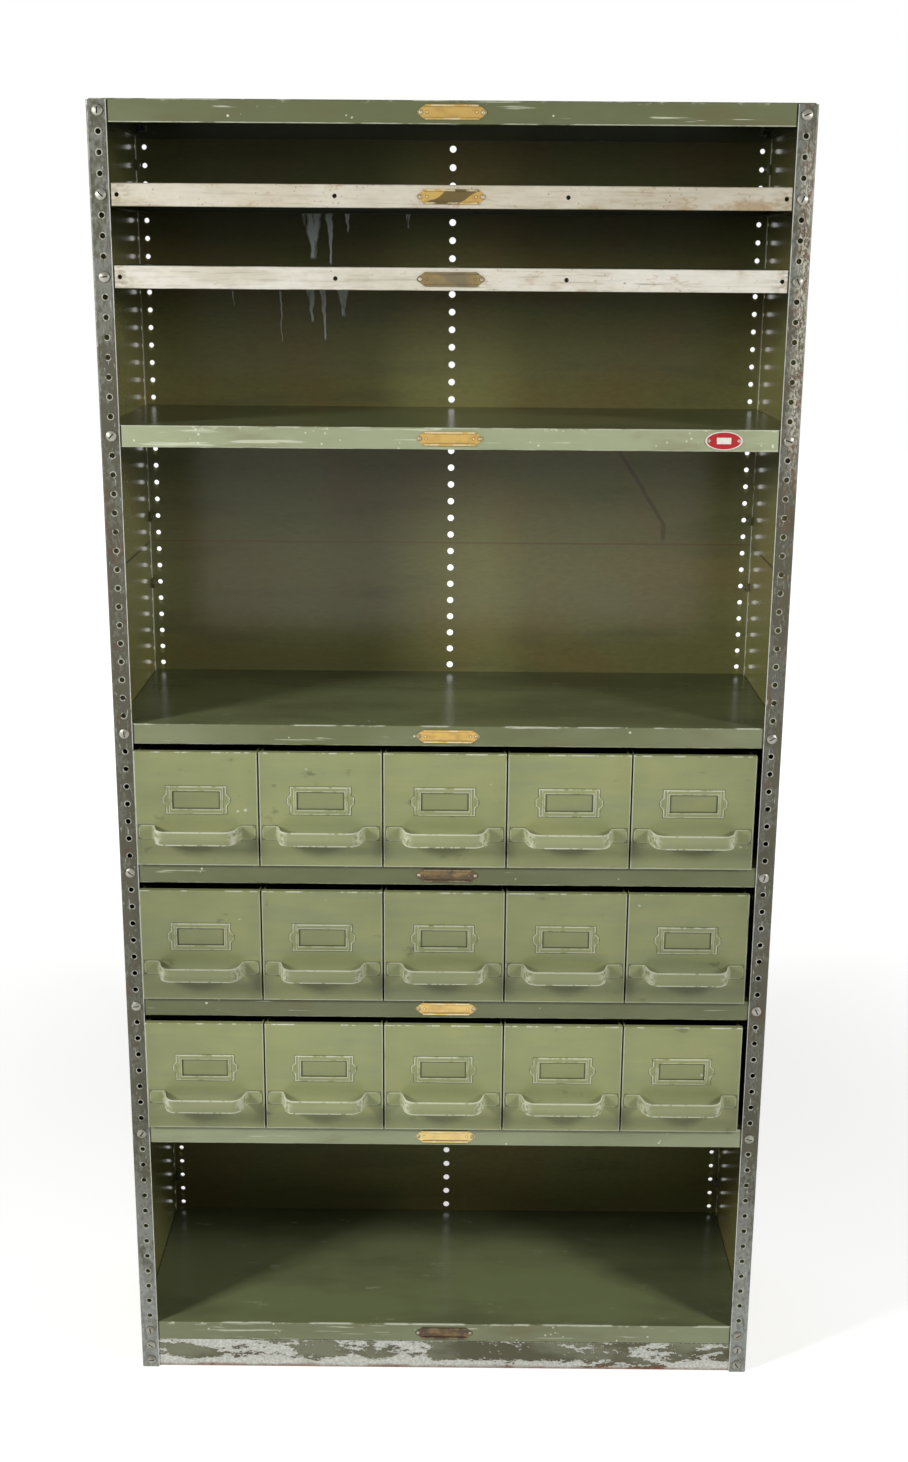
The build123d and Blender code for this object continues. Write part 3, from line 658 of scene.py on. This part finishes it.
def kick_plate_finish(paint):
    """Kick plate: green that has lost much of a white coat, with rust along its foot."""
    finish = Finish("kick_plate_worn")
    low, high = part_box("base_strip")
    x, z = finish.x, finish.z
    fine = finish.noise(0.004, 4)
    cloud = finish.noise(0.032, 7, (0.45, 1, 1.2), rough=0.74)
    left = x.rises(0.3, -0.35)
    band = (z - low.z).rises(0.022, 0.009) * (left * 0.09 + 0.12)
    patches = (high.z - z).rises(0.03, 0.006) * left * 0.09
    coat = cloud + band + patches + (fine - 0.5) * 0.16
    white = coat.rises(0.555, 0.575)
    green = finish.mix(finish.noise(0.05, 5, (0.4, 1, 1)).rises(0.4, 0.62), KICK_GREEN, KICK_DARK)
    flakes = finish.mix(fine.rises(0.35, 0.6) * 0.6, FLAKE_WHITE, FLAKE_GREY)
    colour = finish.mix(white, green, flakes)
    rim = coat.near(0.548, 0.02)
    colour = finish.mix(rim * 0.5, colour, FLAKE_RIM)
    foot = (z - low.z + (cloud - 0.5) * 0.02).rises(0.007, 0.001)
    colour = finish.mix(foot * 0.75, colour, paint.rust[:])
    top = (high.z - z).rises(0.0025, 0.0008) * fine.rises(0.4, 0.6)
    colour = finish.mix(top * 0.6, colour, paint.pale_wear_and_highlight[:])
    roughness = 0.42 + fine * 0.2 + foot * 0.15
    return finish.done(colour, roughness, 0.0, white * 2 + fine, 0.4, 0.0003)


class BoxFront:
    """One box's front: places on it, and distances from the outlines of its frame, window and pads."""

    def __init__(self, finish, low, high):
        self.low = low
        self.high = high
        self.across = abs(finish.x - (low.x + high.x) / 2)
        self.up = finish.z - low.z
        upright = abs(self.up - CARD_FRAME_CENTRE)
        plate = (self.across - CARD_PLATE[0]).at_least(upright - CARD_PLATE[1])
        slope = upright + (self.across - CARD_PLATE[0]).at_least(0) * CARD_EAR_SLOPE - CARD_EAR_HALF
        ear = (self.across - CARD_EAR_REACH).at_least(slope)
        self.frame = plate.at_most(ear)
        self.raised = (self.across - CARD_RAISED_HALF).at_least(upright - CARD_PLATE[1])
        self.window = (self.across - CARD_WINDOW[0]).at_least(upright - CARD_WINDOW[1])
        bar_middle = (HANDLE_BAR[0] + HANDLE_BAR[1]) / 2
        self.over_bar = self.up - bar_middle
        self.pad = (self.across - HANDLE_END).at_least(abs(self.over_bar) - (HANDLE_BAR[1] - bar_middle))


def hardware_colour(finish, paint, box, base, cloud, streak, seed):
    """Base colour on the card frame and strap green on the handle, with worn edges on both that are partly
    painted highlights, rubbed paint and a painted highlight at the handle's bends, and painted shade under
    its bar.
    """
    body = finish.mix(cloud.rises(0.35, 0.65) * 0.5, paint.strap_green[:], STRAP_DULL)
    handle = finish.z.rises(box.low.z + HANDLE_TOP + 0.001, box.low.z + HANDLE_TOP)
    colour = finish.mix(handle, base, body)
    smear = finish.noise(0.006, 4, shift=(seed, 1, 0))
    # Rubbed paint and a painted highlight at the handle's bends
    rubbed = box.across.near(0.054, 0.012) * handle * smear.rises(0.40, 0.54)
    colour = finish.mix(rubbed * 0.75, colour, STRAP_RUBBED_HIGHLIGHT)
    proud = finish.y.rises(box.low.y - 0.026, box.low.y - 0.029) * handle
    colour = finish.mix(proud * streak * 0.3, colour, STRAP_STREAK)
    # Painted shade on the lower half of the handle's bar
    colour = finish.mix(proud * box.over_bar.rises(0.001, -0.006) * 0.3, colour, STRAP_PAINTED_SHADE)
    chips = finish.noise(0.008, 4, shift=(seed, 0, 5))
    # Pale lines along the handle's edges and round its pads: worn paint, and partly a painted highlight,
    # most of all on the top edge
    bottom_lip = (box.up - HANDLE_BAR[0]).rises(0.0022, 0.0010) * chips.rises(0.40, 0.48)
    top_lip = (HANDLE_BAR[1] - box.up).rises(0.0021, 0.0010) * chips.rises(0.30, 0.46) * 0.9
    lips = (bottom_lip + top_lip).at_most(1) * handle * box.across.rises(0.062, 0.056)
    lips = lips + box.pad.rises(-0.0014, -0.0006) * box.across.rises(0.058, 0.064) * handle * 0.45
    broken = finish.noise(0.014, 4, shift=(0, seed, 5)).rises(0.36, 0.5)
    # Pale lines round the card frame, its raised rim and its window: worn paint, and partly a painted
    # highlight
    lines = box.frame.rises(-0.0018, -0.0009) + box.raised.near(-0.0005, 0.0012) * 0.8
    lines = (lines + box.window.near(0.0009, 0.0013) * 0.8).at_most(1) * (1 - handle) * broken
    return finish.mix((lips + lines * 0.9).at_most(1), colour, paint.pale_wear_and_highlight[:])


def tray_colour(finish, paint, box, base, fine, seed):
    """Base colour with worn outer edges, chips, patches of dirt, and painted shade along the window, in it,
    and round the frame and the pads.
    """
    x, z = finish.x, finish.z
    ragged = (fine - 0.5) * 0.0012
    sides = (x - box.low.x + ragged).at_most(box.high.x - x + ragged)
    foot = z - box.low.z + ragged
    top = box.high.z - z + ragged
    outline = sides.at_most(foot).rises(0.0017, 0.0009)
    kept = finish.noise(0.05, 3, shift=(seed, 2, 0)).rises(0.3, 0.42)
    chipped = top.rises(0.0018, 0.0008) * finish.noise(0.016, 4, shift=(0, 3, seed)).rises(0.50, 0.58)
    front = finish.y.rises(box.low.y + 0.0014, box.low.y + 0.0010)
    worn = (outline * kept * 0.7 + chipped).at_most(1) * front
    dots = specks(finish, 0.013, 0.34, seed)
    colour = finish.mix((worn + dots * front * 0.8).at_most(1) * paint.wear, base, paint.pale_wear_and_highlight[:])
    grubby = finish.noise(0.02, 4, (0.6, 1, 1), (seed, 5, 0)).rises(0.64, 0.76) * 0.5
    # Painted shade along the window's inner edges, in the window, and round the frame and the pads
    window_edge_shade = box.window.rises(-0.0026, -0.0004) * box.window.rises(0.001, 0.0004)
    pad_edge_shade = box.pad.rises(0.0016, 0.0002) * box.pad.rises(-0.001, 0) * box.across.rises(0.058, 0.062)
    frame_and_pad_shade = box.frame.rises(0.0014, 0.0003) * box.frame.rises(-0.001, 0.0) + pad_edge_shade
    window = box.window.rises(0.0002, -0.0004) * 0.16
    # Patches of dirt and the painted shade together
    dirt = (grubby + (window_edge_shade * 0.75 + frame_and_pad_shade * 0.8 + window) * front).at_most(1)
    return finish.mix(dirt, colour, BOX_DIRT_AND_SHADE)


def box_finish(paint, row, column, hardware):
    """Paint of one shelf box or of its frame and handle, with its own clouds, streaks and worn edges."""
    piece = "hardware" if hardware else "tray"
    finish = Finish(f"drawer_{row}_{column}_{piece}_green")
    box = BoxFront(finish, *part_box(f"drawer_{row}_{column}_tray"))
    seed = row * 7.3 + column * 2.9
    cloud = finish.noise(0.07, 4, (0.6, 1, 1), (seed, 0, 0))
    streak = finish.noise(0.03, 4, (0.12, 1, 1), (0, seed, 0))
    fine = finish.noise(0.003, 3, (0.5, 1, 1), (0, 0, seed))
    base = finish.mix(cloud.rises(0.45, 0.7) * 0.4, paint.box_green[:], BOX_OLIVE)
    base = finish.mix(streak.rises(0.48, 0.66) * 0.4, base, BOX_GREY)
    # Painted shade: the boxes darken towards the ends of the unit
    painted_end_shade = abs(finish.x).rises(0.2, 0.44) * 0.16
    tone = 0.64 + cloud * 0.45 + streak * 0.32 + fine * 0.06 - painted_end_shade
    if hardware:
        colour = hardware_colour(finish, paint, box, base, cloud, streak, seed)
    else:
        colour = tray_colour(finish, paint, box, base, fine, seed)
        # Painted shade below the handle, and darker towards the sides of the front
        tone = tone - (box.up.rises(0.078, 0.03) * 0.13 + box.across.rises(0.055, 0.085) * 0.07)
    colour = finish.shade(colour, tone * ROW_TONES[row - 1])
    roughness = 0.34 + streak * 0.12 + fine * 0.1
    return finish.done(colour, roughness, 0.0, cloud * 3 + fine * 0.5, 0.3, 0.0004)


def bolt_finish(metal, rear):
    """Bright slotted steel heads, near black in the slot and darker round the rim."""
    finish = Finish("rear_bolt_steel" if rear else "front_bolt_steel")
    fine = finish.noise(0.0012, 3)
    patina = finish.noise(0.012, 4)
    radius = from_hole(finish)
    height = finish.y - BACK if rear else FRONT - finish.y
    crown = BOLT_HEAD_HEIGHT - BOLT_EDGE_HEIGHT
    sphere = (BOLT_HEAD_RADIUS**2 + crown**2) / (2 * crown)
    dome = (sphere**2 - radius * radius).at_least(0) ** 0.5 - (sphere - BOLT_HEAD_HEIGHT)
    within = radius.rises(BOLT_HEAD_RADIUS - 0.0004, BOLT_HEAD_RADIUS - 0.001)
    slot = (dome - height).rises(0.0002, 0.0005) * within
    colour = finish.mix(patina.rises(0.4, 0.66) * 0.6, metal.bolt_steel[:], BOLT_PATINA)
    colour = finish.mix(slot * 0.92, colour, BOLT_SLOT)
    rim = radius.rises(BOLT_HEAD_RADIUS - 0.0012, BOLT_HEAD_RADIUS)
    colour = finish.mix(rim * 0.5, colour, BOLT_RIM)
    roughness = 0.34 + fine * 0.15 + slot * 0.4
    return finish.done(colour, roughness, 0.45, fine, 0.25, 0.0001)


def mottled_finish(name, tones, metallic):
    """Small hardware, mottled between a pale and a dark tone."""
    finish = Finish(name)
    fine = finish.noise(0.0015, 3)
    patina = finish.noise(0.01, 4)
    colour = finish.mix(patina.rises(0.35, 0.7), *tones)
    return finish.done(colour, 0.4 + fine * 0.2, metallic, fine, 0.3, 0.0001)


def label_finish(metal, name, bright):
    """Brass or bronzed card holder with tarnish, painted highlights on its lips and dimples, and painted
    shade in its creases, along its border and round its dimples and rivets.
    """
    finish = Finish(name)
    x, y, z = finish.x, finish.y, finish.z
    across = abs(x)
    middles = [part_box(f"shelf_{shelf}")[0].z + FLANGE_MIDDLE for shelf in SHELVES]
    upright = abs(z - middles[0])
    for middle in middles[1:]:
        upright = upright.at_most(abs(z - middle))
    fine = finish.noise(0.0012, 3, (0.5, 1, 1))
    tarnish = finish.noise(0.014, 5, (0.6, 1, 1))
    if bright:
        colour = finish.mix(tarnish.rises(0.4, 0.72) * 0.6, metal.brass[:], BRASS_TARNISH)
        second = z - middles[1]
        slant = x - second * 1.6 + (tarnish - 0.5) * 0.02
        smudge = slant.near(0.002, 0.028).rises(0.1, 0.25) * abs(second).rises(0.03, 0.02)
        colour = finish.mix(smudge * 0.85, colour, BRASS_SMUDGE)
        colour = finish.mix(z.rises(0.75, 0.35) * 0.45, colour, BRASS_BRIGHT)
    else:
        high_up = z.rises(1.2, 1.5)
        bronze = finish.mix(high_up * 0.6, metal.bronze[:], BRONZE_PALE)
        golden = across.rises(0.016, 0.03) * high_up * 0.4
        colour = finish.mix((tarnish.rises(0.45, 0.7) * 0.5 + golden).at_most(1), bronze, BRONZE_GOLDEN)
    # Painted highlight on the lips
    lips = (FRONT - y).rises(0.0019, 0.0021)
    highlight_colour = BRASS_HIGHLIGHT if bright else BRONZE_HIGHLIGHT
    colour = finish.mix(lips * tarnish.rises(0.45, 0.55) * 0.6, colour, highlight_colour)
    # Painted shade in the creases, along the border and round the dimples and rivets
    crease = upright.near(LABEL_CREASE, 0.0008) * across.rises(0.037, 0.034)
    border = upright.rises(0.0084, 0.0091)
    dimple = ((across - LABEL_DIMPLE) ** 2 + upright * upright) ** 0.5
    rivet = ((across - LABEL_RIVET) ** 2 + upright * upright) ** 0.5
    dirt = crease * 0.55 + border * 0.5
    dirt = dirt + dimple.near(0.0019, 0.0006) * 0.6 + rivet.rises(0.0044, 0.0024) * 0.6
    colour = finish.mix(dirt.at_most(1) * fine.rises(0.25, 0.5), colour, LABEL_SHADE)
    # Painted highlight on each dimple
    colour = finish.mix(dimple.rises(0.0014, 0.0007) * 0.7, colour, highlight_colour)
    roughness = 0.34 + tarnish * 0.25
    return finish.done(colour, roughness, 0.55 if bright else 0.4, fine, 0.3, 0.0001)


def badge_finish(metal):
    """Red enamel between a white rim and a blank white panel."""
    finish = Finish("badge_enamel")
    low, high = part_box("badge_plate")
    centre = (low + high) / 2
    half = (high - low) / 2
    fine = finish.noise(0.0015, 4)
    across = (finish.x - centre.x) / half.x
    up = (finish.z - centre.z) / half.z
    oval = (across * across + up * up) ** 0.5
    rim = oval.rises(0.90, 0.93)
    wide, tall = BADGE_PANEL
    panel = abs(finish.x - centre.x).rises(wide + 0.0001, wide - 0.0001)
    panel = panel * abs(finish.z - centre.z).rises(tall + 0.0001, tall - 0.0001)
    white = finish.mix(fine.rises(0.4, 0.7) * 0.5, metal.badge_white[:], SOILED_WHITE)
    red = finish.mix(fine.rises(0.5, 0.7) * 0.4, metal.badge_red[:], DARK_RED)
    colour = finish.mix((rim + panel).at_most(1), red, white)
    return finish.done(colour, 0.28 + fine * 0.15, 0.0, fine, 0.2, 0.0001)


class PostFinish(bpy.types.Operator):
    """Rubbed dark steel on the four posts."""

    bl_idname = "shelving.posts"
    bl_label = "Posts"

    def execute(self, context):
        metal = context.scene.shelving_metal
        assign(["post_front_left", "post_rear_left"], post_finish(metal, False))
        assign(["post_front_right", "post_rear_right"], post_finish(metal, True))
        return {"FINISHED"}


class SheetFinish(bpy.types.Operator):
    """Gloss green on the side and back sheets."""

    bl_idname = "shelving.sheets"
    bl_label = "Sides and back"

    def execute(self, context):
        paint = context.scene.shelving_paint
        for level in ("upper", "lower"):
            sides = [f"side_panel_{side}_{level}" for side in ("left", "right")]
            assign(sides, side_sheet_finish(paint, level))
            assign([f"back_panel_{level}"], back_sheet_finish(paint, level))
        return {"FINISHED"}


class ShelfFinish(bpy.types.Operator):
    """Paint, chips and scratches on the nine shelves."""

    bl_idname = "shelving.shelves"
    bl_label = "Shelves"

    def execute(self, context):
        paint = context.scene.shelving_paint
        for shelf, (sage, scratched, level) in GREEN_SHELVES.items():
            assign([f"shelf_{shelf}"], shelf_finish(paint, shelf, sage, scratched, level))
        for shelf, rusty in PALE_SHELVES.items():
            assign([f"shelf_{shelf}"], pale_shelf_finish(paint, shelf, rusty))
        return {"FINISHED"}


class KickPlateFinish(bpy.types.Operator):
    """Flaking white over green on the kick plate."""

    bl_idname = "shelving.kick_plate"
    bl_label = "Kick plate"

    def execute(self, context):
        assign(["base_strip"], kick_plate_finish(context.scene.shelving_paint))
        return {"FINISHED"}


class BoxFinish(bpy.types.Operator):
    """Sage green on the fifteen shelf boxes, each with its own wear."""

    bl_idname = "shelving.boxes"
    bl_label = "Shelf boxes"

    def execute(self, context):
        paint = context.scene.shelving_paint
        for row in ROWS:
            for column in COLUMNS:
                assign([f"drawer_{row}_{column}_tray"], box_finish(paint, row, column, False))
        return {"FINISHED"}


class HandleFinish(bpy.types.Operator):
    """Rubbed green on the card frames and strap handles."""

    bl_idname = "shelving.handles"
    bl_label = "Frames and handles"

    def execute(self, context):
        paint = context.scene.shelving_paint
        for row in ROWS:
            for column in COLUMNS:
                assign([f"drawer_{row}_{column}_hardware"], box_finish(paint, row, column, True))
        return {"FINISHED"}


class FastenerFinish(bpy.types.Operator):
    """Bright steel on the slotted bolts, duller plating or paint on the side bolts and the nuts."""

    bl_idname = "shelving.fasteners"
    bl_label = "Bolts and nuts"

    def execute(self, context):
        metal = context.scene.shelving_metal
        assign(["front_bolts"], bolt_finish(metal, False))
        assign(["rear_bolts"], bolt_finish(metal, True))
        assign(["side_bolts", "shelf_nuts"], mottled_finish("plated_steel", PLATED_TONES, 0.5))
        assign(["side_nuts"], mottled_finish("painted_nuts", PAINTED_TONES, 0.0))
        return {"FINISHED"}


class LabelFinish(bpy.types.Operator):
    """Brass and bronzed label holders, and the rivets of these and of the badge."""

    bl_idname = "shelving.label_holders"
    bl_label = "Label holders"

    def execute(self, context):
        metal = context.scene.shelving_metal
        assign(["label_holders_brass"], label_finish(metal, "worn_brass", True))
        assign(["label_holders_bronzed"], label_finish(metal, "stained_brass", False))
        assign(["label_rivets", "badge_rivets"], mottled_finish("rivet_steel", RIVET_TONES, 0.3))
        return {"FINISHED"}


class BadgeFinish(bpy.types.Operator):
    """Red and white enamel on the blank oval badge."""

    bl_idname = "shelving.badge"
    bl_label = "Badge"

    def execute(self, context):
        assign(["badge_plate"], badge_finish(context.scene.shelving_metal))
        return {"FINISHED"}


def add_lamp(name, studio, side, power):
    """Soft lamp in front of the unit, to the left or the right, turned towards its middle."""
    angle = studio.lamp_angle
    reach = studio.lamp_distance
    place = (side * reach * math.sin(angle), FRONT - reach * math.cos(angle), studio.lamp_height)
    aim = (0, FRONT, TOP / 2)
    lamp = bpy.data.lights.new(name, "AREA")
    lamp.shape = "RECTANGLE"
    lamp.size = studio.lamp_size
    lamp.size_y = studio.lamp_size * LAMP_TALLNESS
    lamp.energy = power
    holder = bpy.data.objects.new(name, lamp)
    holder.location = place
    holder.rotation_euler = (Vector(aim) - Vector(place)).to_track_quat("-Z", "Y").to_euler()
    holder.visible_camera = False
    bpy.context.scene.collection.objects.link(holder)


def light_room(level):
    """White background, a dim room in front in mirrored light, and soft light, most of it from behind."""
    world = bpy.data.worlds.new("studio")
    bpy.context.scene.world = world
    world.use_nodes = True
    graph = Graph(world.node_tree)
    rays = graph.node("ShaderNodeLightPath")
    camera = Number(graph, rays.outputs["Is Camera Ray"])
    mirrored = Number(graph, rays.outputs["Is Glossy Ray"])
    through = Number(graph, rays.outputs["Is Transmission Ray"])
    heading = graph.node("ShaderNodeTexCoord").outputs["Generated"]
    direction = graph.node("ShaderNodeSeparateXYZ", None, {0: heading})
    behind = Number(graph, direction.outputs[1]).rises(-0.1, 0.5)
    shown = camera.at_least(through)
    reflected = behind * (1 - MIRRORED_ROOM) + MIRRORED_ROOM
    diffuse = (behind * REAR_LIGHT + 1) * level
    strength = shown + (1 - shown) * (mirrored * reflected + (1 - mirrored) * diffuse)
    background = graph.node("ShaderNodeBackground", None, {"Color": (1, 1, 1, 1), "Strength": strength})
    graph.node("ShaderNodeOutputWorld", None, {0: background.outputs[0]})


def build_floor(size):
    """Pale floor that is white to the camera where no shadow falls."""
    mesh = bpy.data.meshes.new("floor")
    shape = bmesh.new()
    bmesh.ops.create_grid(shape, x_segments=1, y_segments=1, size=size / 2)
    shape.to_mesh(mesh)
    shape.free()
    floor = bpy.data.objects.new("floor", mesh)
    bpy.context.scene.collection.objects.link(floor)
    finish = Finish("pale_floor")
    rays = finish.node("ShaderNodeLightPath")
    shown = Number(finish, rays.outputs["Is Camera Ray"])
    for kind in ("Is Glossy Ray", "Is Transmission Ray"):
        shown = shown.at_least(Number(finish, rays.outputs[kind]))
    grain = finish.noise(0.004, 3)
    colour = finish.mix(grain, srgb(214, 214, 212), srgb(220, 220, 218))
    matt = finish.node("ShaderNodeBsdfDiffuse", None, {"Color": colour})
    away = (finish.x * finish.x + finish.y * finish.y) ** 0.5
    strength = shown * (FLOOR_GLOW + away.rises(*FLOOR_GLOW_REACH) * (1 - FLOOR_GLOW))
    glow = finish.node("ShaderNodeEmission", None, {"Strength": strength})
    both = finish.node("ShaderNodeAddShader", None, {0: matt.outputs[0], 1: glow.outputs[0]})
    finish.node("ShaderNodeOutputMaterial", None, {0: both.outputs[0]})
    mesh.materials.append(finish.material)


def add_camera(studio):
    """Camera at the photograph's place, for a frame of 908 by 1462."""
    lens = bpy.data.cameras.new("camera")
    lens.lens = studio.camera_lens
    lens.sensor_width = SENSOR_WIDTH
    lens.shift_y = CAMERA_SHIFT
    lens.clip_start = CAMERA_CLIP
    camera = bpy.data.objects.new("camera", lens)
    turn = Matrix.Rotation(-studio.camera_yaw, 4, "Z")
    turn = turn @ Matrix.Rotation(math.pi / 2 - studio.camera_pitch, 4, "X")
    turn = turn @ Matrix.Rotation(studio.camera_roll, 4, "Z")
    camera.matrix_world = Matrix.Translation(studio.camera_place[:]) @ turn
    bpy.context.scene.collection.objects.link(camera)
    bpy.context.scene.camera = camera


class StudioBuild(bpy.types.Operator):
    """Floor, room, two soft lamps and the camera."""

    bl_idname = "shelving.studio"
    bl_label = "Studio"

    def execute(self, context):
        scene = context.scene
        scene.view_settings.view_transform = "Standard"
        studio = scene.shelving_studio
        light_room(studio.room_light)
        build_floor(studio.floor_size)
        add_lamp("left_lamp", studio, -1, studio.left_power)
        add_lamp("right_lamp", studio, 1, studio.right_power)
        add_camera(studio)
        return {"FINISHED"}


STEPS = (PostFinish, SheetFinish, ShelfFinish, KickPlateFinish, BoxFinish, HandleFinish, FastenerFinish,
         LabelFinish, BadgeFinish, StudioBuild)


class ShelvingPanel(bpy.types.Panel):
    """Steps of the shelving unit, with its colours and studio."""

    bl_idname = "VIEW3D_PT_shelving"
    bl_label = "Shelving unit"
    bl_space_type = "VIEW_3D"
    bl_region_type = "UI"
    bl_category = "Shelving"

    def draw(self, context):
        scene = context.scene
        for step in STEPS:
            self.layout.operator(step.bl_idname)
        for group in (scene.shelving_paint, scene.shelving_metal, scene.shelving_studio):
            for name in group.__annotations__:
                self.layout.prop(group, name)


CLASSES = (ShelvingPaint, ShelvingMetal, ShelvingStudio, *STEPS, ShelvingPanel)


def register():
    for kind in CLASSES:
        bpy.utils.register_class(kind)
    bpy.types.Scene.shelving_paint = bpy.props.PointerProperty(type=ShelvingPaint)
    bpy.types.Scene.shelving_metal = bpy.props.PointerProperty(type=ShelvingMetal)
    bpy.types.Scene.shelving_studio = bpy.props.PointerProperty(type=ShelvingStudio)


def unregister():
    del bpy.types.Scene.shelving_studio
    del bpy.types.Scene.shelving_metal
    del bpy.types.Scene.shelving_paint
    for kind in reversed(CLASSES):
        bpy.utils.unregister_class(kind)


def main():
    """Run every step in order."""
    register()
    for step in STEPS:
        group, name = step.bl_idname.split(".")
        getattr(getattr(bpy.ops, group), name)()


if __name__ == "__main__":
    main()
